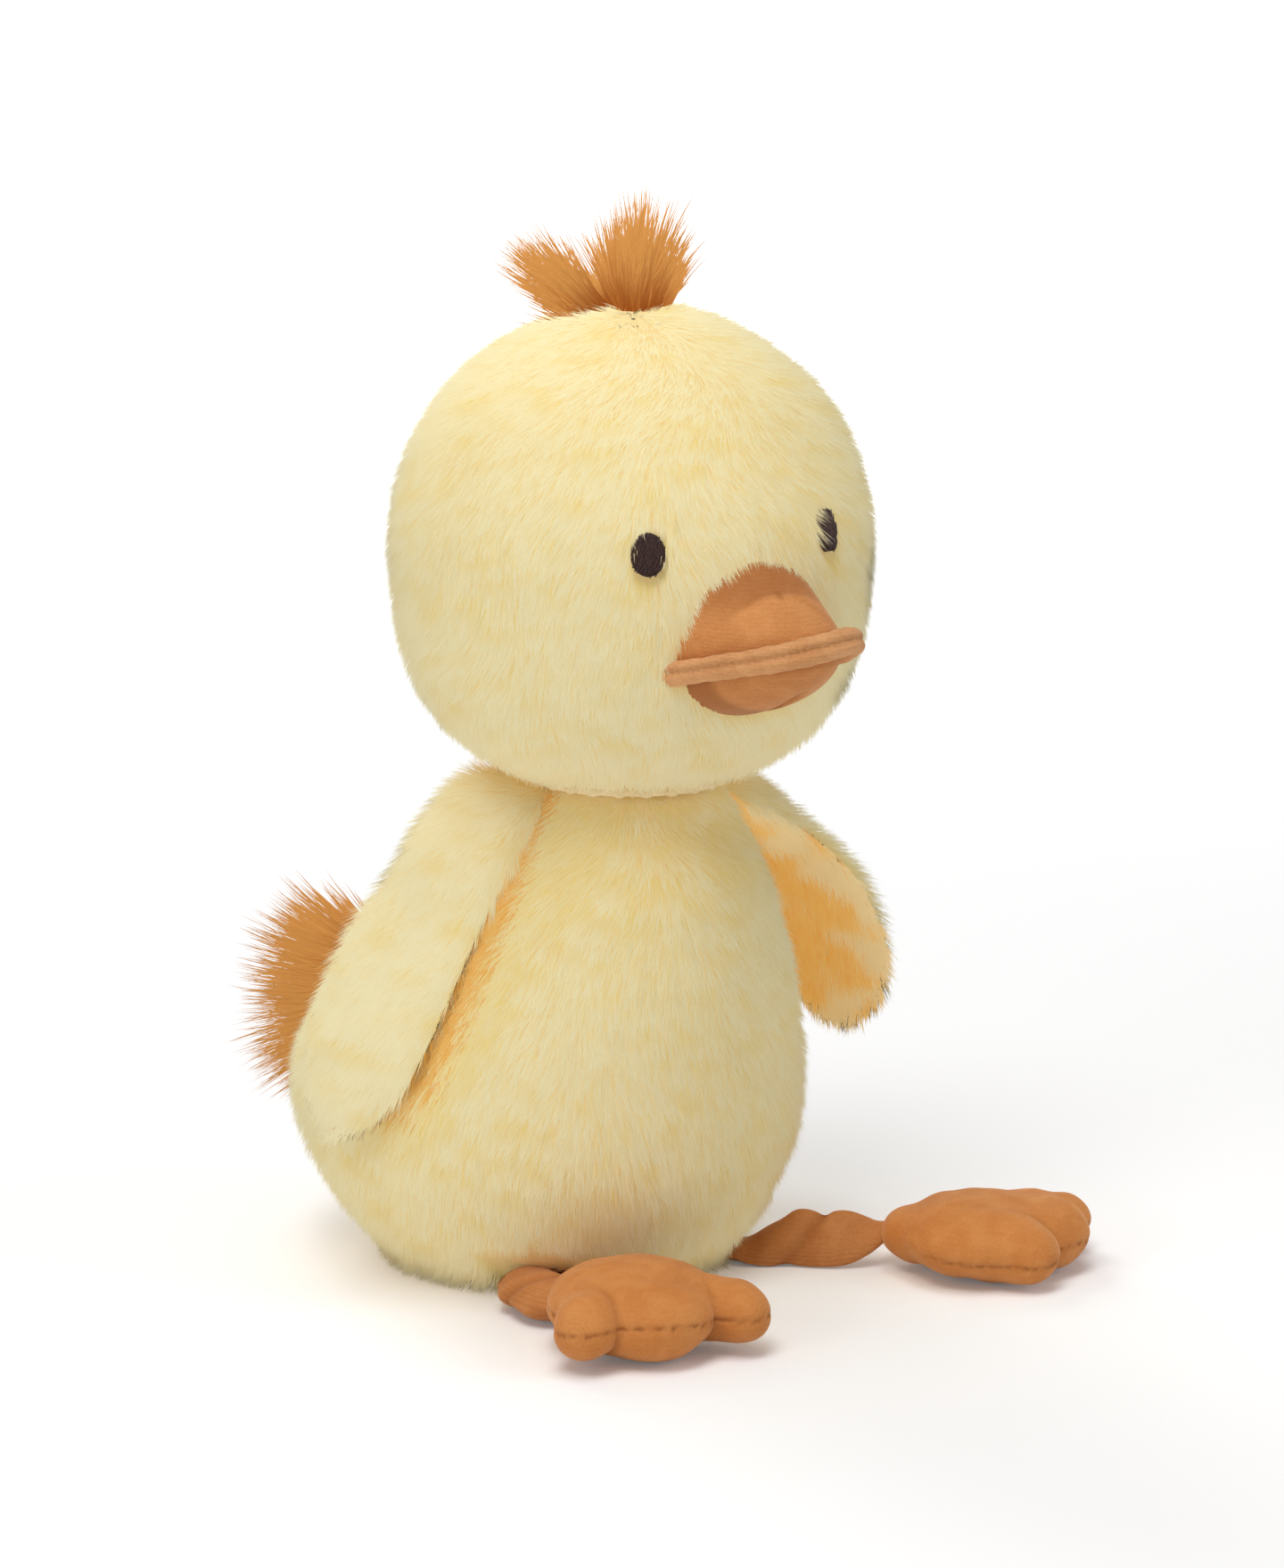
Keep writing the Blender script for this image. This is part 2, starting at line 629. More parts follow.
headCoat = {
    "seed": 11, "count": 125000, "length": 0.0074, "width": 0.00052, "thin": 0.4, "lean": 61,
    "clumpSize": 0.0026, "wideSize": 0.0075, "swirlSize": 0.045, "swirl": 0.34, "clumpTurn": 0.20,
    "strandTurn": 0.13, "clumpLift": 0.11, "strandLift": 0.08, "uneven": 0.22, "gather": 0.16,
    "wideGather": 0.07, "toneSize": 0.0075, "toneStretch": (0.6, 0.6, 1.5), "rootDepth": 0.0004,
    "floorGap": 0.0004, "floorSpread": 0.0006, "flattest": 1.22,
    "under": 0.9,  # below 1, the pile that looks down still catches light
}
crownFacts = {"way": (0.05, 0.08, -1.0), "sway": 0.24, "swayRate": 190, "flatter": 0.22}


def headComb(roots, normals):  # down from a whorl on the crown
    up = normals[:, 2:]
    down = np.tile(crownFacts["way"], (len(roots), 1))
    sway = crownFacts["sway"] * np.sin(roots[:, [1, 2, 0]] * crownFacts["swayRate"])
    down += sway * (1 - smoothStep(up, 0.55, 0.92))
    return flatTo(down, normals) * (1 + crownFacts["flatter"] * smoothStep(up, 0.55, 0.95))


def headKeep(roots, normals):
    under = turned(roots, intoBeak)[:, 2] < 0
    bare = beakMeasure(roots) < np.where(under, 0.86, 0.94)
    for side in sides:
        bare |= eyeMeasure(roots, side) < 0.98
    fromNeck = np.linalg.norm(roots - neckCentre, axis=1)
    return smoothStep(fromNeck, 0.0262, 0.034) * ~bare


def headShy(tips):
    inside = beakMeasure(tips) < 0.86
    for side in sides:
        inside |= eyeMeasure(tips, side) < eyeFacts["bareShare"][side]
    return inside


growPile("headPile", headSkin, headCoat, headComb, headKeep, yellowPile, "head", headShy)
print("head done")


# body
bodyFacts = {
    "width": 0.1266, "depth": 0.1368, "neckHeight": 0.118, "neckLean": 0.032, "neckRadius": 0.026,
    "inset": 0.0016, "floorGap": 0.0006,
    "rows": (  # height, lean to the front, girth
        (0.000, 0.00, 0.520), (0.028, -0.01, 0.628), (0.068, -0.02, 0.724), (0.125, -0.04, 0.817),
        (0.205, -0.07, 0.905), (0.305, -0.10, 0.978), (0.410, -0.11, 1.000), (0.510, -0.03, 0.970),
        (0.610, 0.15, 0.896), (0.712, 0.38, 0.796), (0.814, 0.63, 0.672), (0.910, 0.85, 0.557),
        (0.985, 0.98, 0.462),
    ),
}


def makeBodySurface():
    turns = fullTurn(160)
    rings = []

    def addRing(place, halfWidth, halfDepth):
        rings.append(place + oval(turns, (halfWidth, 0, 0), (0, halfDepth, 0)))

    heights = np.linspace(0, 0.985, 90)
    for height, (lean, girth) in zip(heights, smoothTable(bodyFacts["rows"], heights)):
        place = np.array((0, -lean * bodyFacts["neckLean"], height * bodyFacts["neckHeight"]))
        addRing(place, girth * bodyFacts["width"] / 2, girth * bodyFacts["depth"] / 2)
    neck = np.array((0, -bodyFacts["neckLean"], bodyFacts["neckHeight"]))
    radius = bodyFacts["neckRadius"]
    for step in range(9):
        slope = math.radians(14 + 8.6 * step)
        wide = radius * math.cos(slope)
        addRing(neck + (0, 0, radius * math.sin(slope)), wide, wide)
    return closedGrid(np.array(rings), np.zeros((1, 3)), (neck + (0, 0, radius))[None])


bodySkin = moved(makeBodySurface(), -bodyFacts["inset"])
bodySkin = onFloor(bodySkin, bodySkin["points"], bodyFacts["floorGap"])
makePiece("bodySkin", bodySkin, pileBacking, "body", ["body_cover"])
bodyCoat = dict(headCoat, seed=31, count=122000, length=0.0076, swirl=0.25)


def bodyComb(roots, normals):  # down, and outward just above the floor
    down = np.tile((0, 0.12, -1.0), (len(roots), 1))
    share = smoothStep(roots[:, 2:3], 0.001, 0.012)
    return flatTo(down, normals) * share + unit(normals * (1, 1, 0)) * (1 - share)


def bodyKeep(roots, normals):  # short at the floor, bare over the near leg, inside the neck and below
    hip = jointPlace["leg_right_swing"]
    high = roots[:, 2]
    besideLeg = np.abs(roots[:, 0] - hip[0] + 0.004)
    overLeg = (1 - smoothStep(besideLeg, 0.013, 0.018)) * (roots[:, 1] < hip[1] + 0.017)
    keep = smoothStep(high, 0.0002, 0.0016) * (1 - overLeg * (1 - smoothStep(high, 0.014, 0.022)))
    return keep * (1 - smoothStep(high, 0.127, 0.135)) * (normals[:, 2] >= -0.93)


print("body done")


# wings
wingFacts = {
    "length": 0.088, "width": 0.042, "thickness": 0.0135, "rootTaper": 0.3, "inset": 0.0030,
    "neckGap": 0.0255,
    "rows": (  # place along the wing, width, thickness
        (0.00, 0.70, 1.00), (0.16, 0.82, 0.98), (0.36, 0.96, 1.00), (0.58, 1.00, 0.98),
        (0.76, 0.93, 0.92), (0.89, 0.72, 0.76), (0.97, 0.40, 0.48),
    ),
    "tipRows": ((0.012, 0.28, 0.36), (0.020, 0.13, 0.2)),
    "tip": 0.023,
    "right": {"hang": 29, "curl": 28, "drape": 8, "stretch": 1.0, "cap": 1.9},
    "left": {"hang": 38, "curl": 60, "drape": 5, "stretch": 1.05, "cap": 1.5},
}


def wingOutward(side, rise):
    drape = math.radians(wingFacts[side]["drape"])
    return np.array((sides[side] * math.cos(drape), math.sin(drape), rise))


def makeWingSurface(side):
    facts = wingFacts[side]
    hinge = jointPlace[f"wing_{side}_lift"]
    ahead = jointAxis[f"wing_{side}_lift"] * sides[side]
    outward, down = wingOutward(side, 0), np.array((0, 0, -1.0))
    length = wingFacts["length"] * facts["stretch"]
    turns = fullTurn(56)
    rings = []

    def alongAt(bend):
        return outward * math.sin(bend) + down * math.cos(bend)

    def addRing(place, width, thickness, bend):
        over = np.cross(ahead, alongAt(bend))
        over /= np.linalg.norm(over)
        rings.append(place + oval(turns, ahead * width / 2, over * thickness / 2))

    start = math.radians(facts["hang"] + facts["curl"] / 2)
    startTip = hinge - alongAt(start) * wingFacts["thickness"] / 2 * facts["cap"]
    width = wingFacts["width"] * wingFacts["rows"][0][1]
    for step in range(1, 10):  # the rounded root
        turn = math.radians(9 * step)
        narrower = width * (1 - (1 - math.sin(turn)) * wingFacts["rootTaper"])
        place = hinge + (startTip - hinge) * math.cos(turn)
        addRing(place, narrower, wingFacts["thickness"] * math.sin(turn), start)
    shares = np.linspace(0, wingFacts["rows"][-1][0], 44)
    place, reached = hinge, 0
    for share, (width, depth) in zip(shares, smoothTable(wingFacts["rows"], shares)):
        bend = math.radians(facts["hang"] + facts["curl"] * (0.5 - share))
        place = place + alongAt(bend) * (share - reached) * length
        reached = share
        addRing(place, wingFacts["width"] * width, wingFacts["thickness"] * depth, bend)
    step = alongAt(bend) * length
    for extra, width, depth in wingFacts["tipRows"]:
        addRing(place + step * extra, wingFacts["width"] * width, wingFacts["thickness"] * depth, bend)
    return closedGrid(np.array(rings), startTip[None], (place + step * wingFacts["tip"])[None])


wingCoat = dict(headCoat, count=33000, length=0.0086, swirl=0.18, lean=60, under=0.35)
wingInnerCoat = dict(wingCoat, count=20000, length=0.0070)
goldFacts = {"view": (0.788, -0.616), "across": 0.0640, "slope": 0.31, "high": 0.083, "size": (0.0090, 0.021)}


def wingTint(roots):  # golden next to the body, pale along the front edge and the tip
    across = goldFacts["view"][0] * np.abs(roots[:, 0]) + goldFacts["view"][1] * roots[:, 1]
    high = roots[:, 2] - goldFacts["high"]
    beside = across - goldFacts["across"] + goldFacts["slope"] * high
    return 0.60 - 1.1 * bell(beside, goldFacts["size"][0]) * bell(high, goldFacts["size"][1])


def makeWing(side, sign):
    hinge = jointPlace[f"wing_{side}_lift"]
    full = makeWingSurface(side)
    fromHinge = np.linalg.norm(full["points"] - hinge, axis=1)
    skin = moved(full, -wingFacts["inset"] * (0.25 + 0.75 * smoothStep(fromHinge, 0.012, 0.03)))
    body, name = f"wing_{side}_flap", side.title()
    makePiece(f"wingSkin{name}", skin, pileBacking, body, [f"wing_{side}"])
    tip = skin["points"][-1]
    outward = wingOutward(side, 0.35)

    def comb(roots, normals):
        return unit((tip - hinge)[None] / np.linalg.norm(tip - hinge) + 0.25 * unit(tip - roots))

    def keep(roots):
        return np.linalg.norm((roots - neckCentre) * (1, 1, 0.9), axis=1) >= wingFacts["neckGap"]

    def outerKeep(roots, normals):
        return keep(roots) & (normals @ outward > -0.02)

    def innerKeep(roots, normals):
        return keep(roots) & (normals @ outward <= 0.12)

    coat = dict(wingCoat, seed=51 + sign)
    growPile(f"wingPile{name}", skin, coat, comb, outerKeep, yellowPile, body)
    coat, inner = dict(wingInnerCoat, seed=61 + sign), f"wingInnerPile{name}"
    growPile(inner, skin, coat, comb, innerKeep, wingInnerPile, body, tint=wingTint)


for side, sign in sides.items():
    makeWing(side, sign)
print("wings done")

# the body's pile: more golden where a wing shades it
wingTrees = [treeOf(makeWingSurface(side)) for side in sides]


def nearWing(roots):
    return np.minimum(*[distances(tree, roots) for tree in wingTrees])


def shadedShare(roots):
    share = 1 - smoothStep(nearWing(roots), 0.0008, 0.0075)
    return share > np.random.default_rng(33).random(len(roots)) * 0.96 + 0.04


def bodyTint(roots):  # more golden beside the wings and under the chin
    beside = 1 - smoothStep(nearWing(roots), 0.004, 0.020)
    return 0.75 * beside + 0.5 * smoothStep(roots[:, 2], 0.094, 0.117)


def plainKeep(roots, normals):
    return bodyKeep(roots, normals) * ~shadedShare(roots)


def shadedKeep(roots, normals):
    return bodyKeep(roots, normals) * shadedShare(roots)


growPile("bodyPile", bodySkin, bodyCoat, bodyComb, plainKeep, yellowPile, "body", tint=bodyTint)
growPile("bodyShadedPile", bodySkin, bodyCoat, bodyComb, shadedKeep, innerPile, "body")


# beak pieces
def beakPanel(rise, widthShare, reachShare, full, pinch):
    inset = beakFacts["rim"] - beakFacts["seam"]
    width = (beakFacts["width"] / 2 - inset) * widthShare
    reach = (beakFacts["reach"] - inset) * reachShare
    lip = np.array((0, 0, beakFacts["lip"] * np.sign(rise)))
    turns = fullTurn(120)
    rings = []
    for step in range(40):
        out = 1 - (step + 1) / 41  # 1 at the rim, 0 on top
        fuller = 2 + full * (0.40 * np.cos(turns) ** 2 - 0.10 * np.sin(turns) ** 2)
        height = rise * (1 - out**fuller) ** (1 / fuller)
        spread = out * (1 - pinch) + pinch * out**12
        rings.append(np.stack([np.cos(turns) * spread * width, np.sin(turns) * spread * reach, height], -1))
    under = rings[0] * (1, 1, 0) - lip
    return closedGrid(np.array([under] + rings), -lip[None], np.array([[0, 0, rise]]))


beakLook = dict(napLook, deep=(0.50, 0.175, 0.045), pale=(0.72, 0.33, 0.115), rowScale=330.0, rows=0.09)
beakNap = napMaterial("beakNap", beakLook, [("crease", 0.75, 1.2)])
rimLook = dict(beakLook, deep=(0.56, 0.235, 0.080), pale=(0.82, 0.43, 0.19), bump=0.8)
rimNap = napMaterial("rimNap", rimLook, [("crease", 0.30, 1.2)])


def addBeakPiece(name, surface, material, nodes, crease):
    values = {"crease": np.clip(crease, 0, 1)}
    makePiece(name, surface, material, "head", nodes, values)


def makeBeakUpper():
    dome = beakPanel(beakFacts["rise"], 0.99, 0.93, 1, 0.085)
    points = dome["points"]
    upper = smoothStep(points[:, 2], 0.008, 0.018)
    collar = (1 - smoothStep(points[:, 1], 0.0095, 0.0185)) * upper
    dip = bell(points[:, 1] - 0.0122, 0.0016) * upper
    points[:, 2] += (0.0014 + 0.0044 * bell(points[:, 0], beakFacts["peak"])) * collar - 0.0008 * dip
    points[:, 0] *= 1 + 0.06 * collar
    dome = reshaped(dome, turned(points, beakPlace))
    fromHead = distances(headTree, dome["points"])
    band = 1 - smoothStep(fromHead, beakFacts["hem"] - 0.0010, beakFacts["hem"] + 0.0002)
    line = bell(fromHead - beakFacts["hem"], 0.0007)
    notch = bell(points[:, 0] - 0.001, 0.0008) * bell(fromHead - beakFacts["hem"] - 0.0010, 0.0014)
    crease = (notch + 0.75 * band + 0.6 * line) * upper
    addBeakPiece("beakUpperPanel", dome, beakNap, ["beak_upper", "beak_filling"], crease)


def makeBeakLower():
    bowl = beakPanel(-beakFacts["drop"], 0.86, 0.95, 0, 0.03)
    points = bowl["points"]
    pinch = bell(points[:, 0] + 0.002, 0.0013) * smoothStep(-points[:, 2], 0.004, 0.009)
    pinch *= 1 - smoothStep(points[:, 1], 0.014, 0.024)
    points[:, 2] += pinch * 0.0014
    bowl = reshaped(bowl, turned(points, beakPlace))
    shaded = 1 - smoothStep(distances(headTree, bowl["points"]), 0.0055, 0.0085)
    crease = 0.2 + 0.75 * shaded + 0.7 * pinch
    addBeakPiece("beakLowerPanel", bowl, beakNap, ["beak_lower"], crease)


def squared(values, power):  # a rounder or a squarer wave than a sine
    return np.sign(values) * np.abs(values) ** power


def makeRim():
    degrees = np.linspace(-8, 188, 150)
    alongs = np.radians(degrees)
    turns = fullTurn(40)
    width = beakFacts["width"] / 2 - beakFacts["rim"]
    reach = beakFacts["reach"] - beakFacts["rim"] + beakFacts["pout"]
    centres = np.stack([
        squared(np.cos(alongs), beakFacts["square"]) * width,
        squared(np.sin(alongs), beakFacts["square"]) * reach,
        beakFacts["tipCurl"] * bell(degrees - 122, 40),
    ], -1)
    heading = unit(np.gradient(centres, axis=0))
    outward = unit(np.cross(heading, np.array((0, 0, 1.0))))
    upward = np.cross(outward, heading)
    uneven = 0.16 * bell(degrees - 90, 38) + 0.05 * np.sin(alongs * 23) * np.cos(alongs * 9)
    ends = np.minimum(1, np.abs(degrees - np.array([[-9], [189]])).min(0) / 7)
    radius = beakFacts["rim"] * (1 + uneven) * (0.55 + 0.45 * np.sqrt(ends))
    away = np.abs(turns - beakFacts["grooveTurn"])
    dip = bell(np.minimum(away, 2 * math.pi - away), beakFacts["grooveWidth"])
    pucker = 0.5 + 0.5 * np.sin(np.arange(len(alongs)) * 2.1)[:, None]
    girth = radius[:, None] * (1 - beakFacts["groove"] * dip * (0.8 + 0.3 * pucker))
    rings = centres[:, None] + (np.cos(turns) * girth)[:, :, None] * outward[:, None]
    rings += (np.sin(turns) * girth * 1.08)[:, :, None] * upward[:, None]
    rim = closedTube(rings)
    crease = np.append(dip * (0.65 + 0.35 * pucker), (0, 0))
    rim = reshaped(rim, turned(rim["points"], beakPlace))
    addBeakPiece("beakRim", rim, rimNap, ["beak_rim"], crease)


makeBeakUpper()
makeBeakLower()
makeRim()
print("beak done")

# embroidered eyes: rows of small raised stitches on an oval base
threadFacts = {
    "length": 0.0019, "width": 0.00042, "rise": 0.00022, "tilt": 68, "uneven": 0.00008,
    "rowShare": 0.78, "columnShare": 0.86, "baseLift": 0.0006, "baseDepth": 0.0034, "noiseScale": 1900,
    "dark": (0.016, 0.005, 0.004), "pale": (0.070, 0.027, 0.018),
}


def makeThread():
    material, tree, shader = newMaterial("eyeThread", {"Roughness": 0.5, "Specular IOR Level": 0.35})
    place = addNode(tree, "ShaderNodeTexCoord").outputs["Object"]
    noise = addNode(tree, "ShaderNodeTexNoise", {"Scale": threadFacts["noiseScale"], "Vector": place})
    share = ranged(tree, noise.outputs["Fac"], 0.35, 0.75)
    fillInputs(tree, shader, {"Base Color": mixColour(tree, share, threadFacts["dark"], threadFacts["pale"])})
    return material


threadMaterial = makeThread()


def onHead(local, side, lift):  # drops flat points onto the head's surface
    place = eyePlaces[side]
    back = (place.to_3x3() @ Vector((0, 0, -1))).normalized()
    made = []
    for point, height in zip(local, lift):
        hit = headTree.ray_cast(place @ Vector((point[0], point[1], 0.02)), back)[0]
        made.append(hit - back * height)
    return np.array(made)


def eyeSpots(halfWide, halfTall, along, across):  # the middles of the stitches
    luck = np.random.default_rng(5)
    rowStep = across * threadFacts["width"] * threadFacts["rowShare"]
    columnStep = along * threadFacts["length"] * threadFacts["columnShare"]
    for row in range(-16, 17):
        for column in range(-5, 6):
            spot = rowStep * row + columnStep * (column + 0.5 * (row % 2))
            spot = spot + luck.normal(size=2) * threadFacts["uneven"]
            if math.hypot(spot[0] / (halfWide - 0.0003), spot[1] / (halfTall - 0.0004)) < 0.97:
                yield spot


def makeEye(side):
    halfWide, halfTall = eyeFacts["width"] / 2 * eyeFacts["widthShare"][side], eyeFacts["height"] / 2
    tilt = math.radians(threadFacts["tilt"])
    along = np.array((math.cos(tilt), math.sin(tilt)))
    across = np.array((-along[1], along[0]))
    flat, lift, faces = [], [], []
    for spot in eyeSpots(halfWide, halfTall, along, across):
        first = len(flat)
        for step, corner in np.ndindex(5, 5):
            bulge = math.sin(math.pi * (0.12 + 0.19 * step))
            lean = math.pi * corner / 4
            aside = math.cos(lean) * threadFacts["width"] / 2 * (0.6 + 0.4 * bulge)
            flat.append(spot + along * (step / 4 - 0.5) * threadFacts["length"] + across * aside)
            lift.append(threadFacts["baseLift"] + math.sin(lean) * threadFacts["rise"] * bulge * 1.6)
        for step, corner in np.ndindex(4, 4):
            low = first + step * 5 + corner
            faces.append([low, low + 1, low + 6, low + 5])
    first, count = len(flat), 40
    for share, height in ((1.0, -threadFacts["baseDepth"]), (0.93, threadFacts["baseLift"] - 0.0001)):
        flat.extend(oval(fullTurn(count), (halfWide * share, 0), (0, halfTall * share)))
        lift.extend([height] * count)
    flat.append(np.zeros(2))
    lift.append(threadFacts["baseLift"])
    for corner in range(first, first + count):
        after = corner + 1 if corner < first + count - 1 else first
        faces.append([corner, after, count + after, count + corner])
        faces.append([count + corner, count + after, len(flat) - 1])
    surface = {"points": onHead(flat, side, lift), "faces": faces}
    makePiece(f"eyeStitches{side.title()}", surface, threadMaterial, "head", [f"eye_{side}"])


for side in sides:
    makeEye(side)
print("eyes done")


# long orange tufts: bunches of locks
def growLocks(name, facts, body, node, seed):
    luck = np.random.default_rng(seed)
    bunches = []
    for bunch in facts["bunches"]:
        count = int(bunch["count"] * lockShare)
        lead = unit(np.array(bunch["way"], float))
        first = unit(np.cross(lead, (0.3, 0.9, 0.1)))
        radius = np.sqrt(luck.random(count))
        offset = swung(first, np.cross(lead, first), luck.random(count) * 2 * math.pi) * radius[:, None]
        roots = np.array(bunch["centre"]) + offset * bunch["root"]
        ways = unit(lead + offset * bunch["spread"] + 0.12 * luck.normal(size=(count, 3)))
        lengths = bunch["length"] * (1 - 0.30 * radius**2) * (0.62 + 0.42 * luck.random(count))
        bunches.append((roots, ways, lengths[:, None], unit(lead + offset * 0.5)))
    roots, ways, lengths, normals = (np.vstack(rows) for rows in zip(*bunches))
    count, steps = len(roots), 5
    centre, clump = nearestClump(roots, facts["clump"], seed)
    bend = unit(clump - 0.5) * 0.25 + 0.1 * luck.normal(size=(count, 3))
    lengths = lengths * (0.58 + 0.72 * clump[:, :1])
    paths = np.empty((count, steps + 1, 3))
    paths[:, 0] = roots
    for step in range(steps):
        paths[:, step + 1] = paths[:, step] + unit(ways + bend * (step / steps)) * lengths / steps
    gather = (np.linspace(0, 1, steps + 1) ** 0.9 * facts["gather"])[None, :, None]
    paths += (centre - roots)[:, None] * gather
    tones = np.clip(0.5 + 0.9 * (clump[:, 2] - 0.5) + 0.22 * luck.normal(size=count), *toneEnds)
    widths = facts["width"] * (0.6 + 0.8 * luck.random(count)) / math.sqrt(lockShare)
    facing = unit(normals * 0.5 + unit(ways * 0.5 + np.array(facts["lit"])))
    piece = addStrands(name, paths, facing, widths, tones, seed + 1, orangeLocks)
    dress(piece, body, [node])


headTuft = {
    "clump": 0.0046, "gather": 0.95, "width": 0.00048, "lit": (-0.6, -0.6, 0.7),
    "bunches": (
        {"centre": (-0.0066, -0.0274, 0.2474), "way": (-0.85, 0.64, 0.88), "root": 0.0050,
         "spread": 0.28, "length": 0.0255, "count": 800},
        {"centre": (0.0014, -0.0326, 0.2490), "way": (0.07, -0.05, 1.0), "root": 0.0070,
         "spread": 0.38, "length": 0.030, "count": 1100},
    ),
}
growLocks("headLocks", headTuft, "head", "head_tuft", 71)
tailTuft = {
    "clump": 0.0050, "gather": 0.85, "width": 0.00064, "lit": (-0.7, -0.2, 0.6),
    "bunches": (
        {"centre": (0.0, 0.0640, 0.0590), "way": (-0.48, 0.84, -0.08), "root": 0.0090,
         "spread": 0.48, "length": 0.045, "count": 3600},
    ),
}
growLocks("tailLocks", tailTuft, "body", "tail_tuft", 81)
print("tufts done")

# feet and legs
limbGap = 0.0003  # between a limb's underside and the floor
footFacts = {
    "middle": (0, 0.0210, 0.0105),
    "weld": 0.0012,
    "bearing": {"right": -20, "left": 45},
    "shift": {"right": (-0.0021, 0.0038, 0), "left": (0.0014, -0.0034, 0)},
    "seamHeight": {"right": 0.0112, "left": 0.0082},
    "whorlStep": 0.00115,
    "whorlReach": 0.009,
    "right": (  # middles and half sizes of the forms that run together
        (0, 0.0200, 0.0112, 0.0218, 0.0200, 0.0112), (0, 0.0325, 0.0108, 0.0150, 0.0140, 0.0100),
        (0.0180, 0.0366, 0.0114, 0.0078, 0.0088, 0.0078), (-0.0224, 0.0330, 0.0106, 0.0080, 0.0088, 0.0080),
        (0.0130, 0.0285, 0.0112, 0.0080, 0.0090, 0.0080), (-0.0160, 0.0272, 0.0108, 0.0084, 0.0090, 0.0082),
        (0, 0.0035, 0.0090, 0.0110, 0.0090, 0.0068),
    ),
    "left": (
        (0.0022, 0.0200, 0.0103, 0.0240, 0.0200, 0.0100), (-0.0020, 0.0345, 0.0098, 0.0150, 0.0140, 0.0093),
        (0.0174, 0.0325, 0.0094, 0.0082, 0.0094, 0.0074), (-0.0198, 0.0400, 0.0088, 0.0074, 0.0084, 0.0066),
        (0.0130, 0.0270, 0.0098, 0.0098, 0.0105, 0.0086), (-0.0138, 0.0318, 0.0095, 0.0100, 0.0110, 0.0082),
        (0, 0.0035, 0.0090, 0.0110, 0.0090, 0.0068),
    ),
}
whorls = ("whorl", 0.16, 0.5, 2 * math.pi / footFacts["whorlStep"], footFacts["whorlReach"])
footNap = napMaterial("footNap", napLook, [("seam", 0.62, 1.2), ("cleft", 0.42, 0.6), whorls])


def footMeasure(points, forms):  # below 0 inside the forms, which are welded with soft creases
    total = np.zeros(len(points))
    for form in forms:
        local, half = points - form[:3], np.array(form[3:])
        first, second = np.linalg.norm(local / half, axis=1), np.linalg.norm(local / half**2, axis=1)
        total += np.exp(-(first * (first - 1) / np.maximum(second, 1e-9)) / footFacts["weld"])
    return -footFacts["weld"] * np.log(total)


def makeFoot(side):
    joint = jointPlace[f"foot_{side}_flap"] * (1, 1, 0) + footFacts["shift"][side]
    bearing = math.radians(footFacts["bearing"][side]) + math.pi
    place = Matrix.Translation(joint) @ Matrix.Rotation(bearing, 4, "Z")
    forms, middle = footFacts[side], np.array(footFacts["middle"])
    lats = np.radians(np.linspace(-88, 88, 91))
    turns = np.linspace(-math.pi, math.pi, 260, endpoint=False)
    lat, turn = np.meshgrid(lats, turns, indexing="ij")
    ways = np.stack([np.sin(turn) * np.cos(lat), np.cos(turn) * np.cos(lat), 0.5 * np.sin(lat)], -1)
    ways = np.vstack([unit(ways.reshape(-1, 3)), (0, 0, -1), (0, 0, 1)])
    near, far = np.zeros(len(ways)), np.full(len(ways), 0.05)
    for _ in range(18):
        half = (near + far) / 2
        inside = footMeasure(middle + ways * half[:, None], forms) < 0
        near, far = np.where(inside, half, near), np.where(inside, far, half)
    local = middle + ways * near[:, None]
    foot = closedGrid(local[:-2].reshape(*lat.shape, 3), local[-2:-1], local[-1:])
    around = np.append(turn.ravel(), (0, 0))
    line = footFacts["seamHeight"][side] + 0.0007 * np.sin(around * 3 + 1)
    seam = bell(local[:, 2] - line, 0.0007) * smoothStep(local[:, 1], 0.004, 0.014)
    seam *= 0.25 + 0.75 * smoothStep(softNoise(local, 0.0022, 12), -0.4, 0.7)
    front, *toes = [footMeasure(local, [form]) for form in forms[1:4]]
    cleft = bell(np.minimum(*toes) - front, 0.0011) * np.exp(-np.maximum(front, 0) / 0.003)
    ends = [np.array(form[:3]) + (math.copysign(0.006, form[0]), 0.008, 0) for form in forms[2:4]]
    whorl = np.min([np.linalg.norm(local - end, axis=1) for end in ends], axis=0)
    shift = 0.00018 * softNoise(local, 0.010, 3) + 0.0003 * softNoise(local, 0.024, 4)
    shift -= 0.0005 * seam + 0.0007 * cleft
    foot = onFloor(foot, turned(local + foot["normals"] * shift[:, None], place), limbGap)
    values = {"seam": seam, "whorl": whorl, "cleft": cleft}
    nodes, body = [f"foot_{side}", f"foot_filling_{side}"], f"foot_{side}_pad"
    makePiece(f"footPlush{side.title()}", foot, footNap, body, nodes, values)


for side in sides:
    makeFoot(side)

legFacts = {
    "width": 0.016,
    "thickness": {"right": 0.0096, "left": 0.0050},
    "ankle": 0.01025,
    "length": {"right": 0.0155, "left": 0.0320},
    "bearing": {"right": -2, "left": 44},
    "ribStep": 0.0011,
    "right": (  # ahead, outward, rise to the ankle, roll, width
        (-0.55, 0.40, 0.1, 0, 1.00), (-0.10, 0.56, 0.1, 6, 1.15), (0.40, 0.60, 0.2, 12, 1.15),
        (0.80, 0.46, 0.4, 14, 1.00), (1.12, 0.14, 0.6, 8, 0.80),
    ),
    "left": (
        (0.00, 0.00, 0.0, 0, 1.00), (0.22, -0.04, 0.0, 34, 1.00), (0.43, -0.08, 0.0, 58, 0.96),
        (0.66, -0.10, 0.1, 60, 0.92), (0.84, -0.06, 0.3, 56, 0.92), (1.00, -0.03, 0.6, 44, 0.66),
        (1.17, 0.00, 0.9, 12, 0.34),
    ),
}
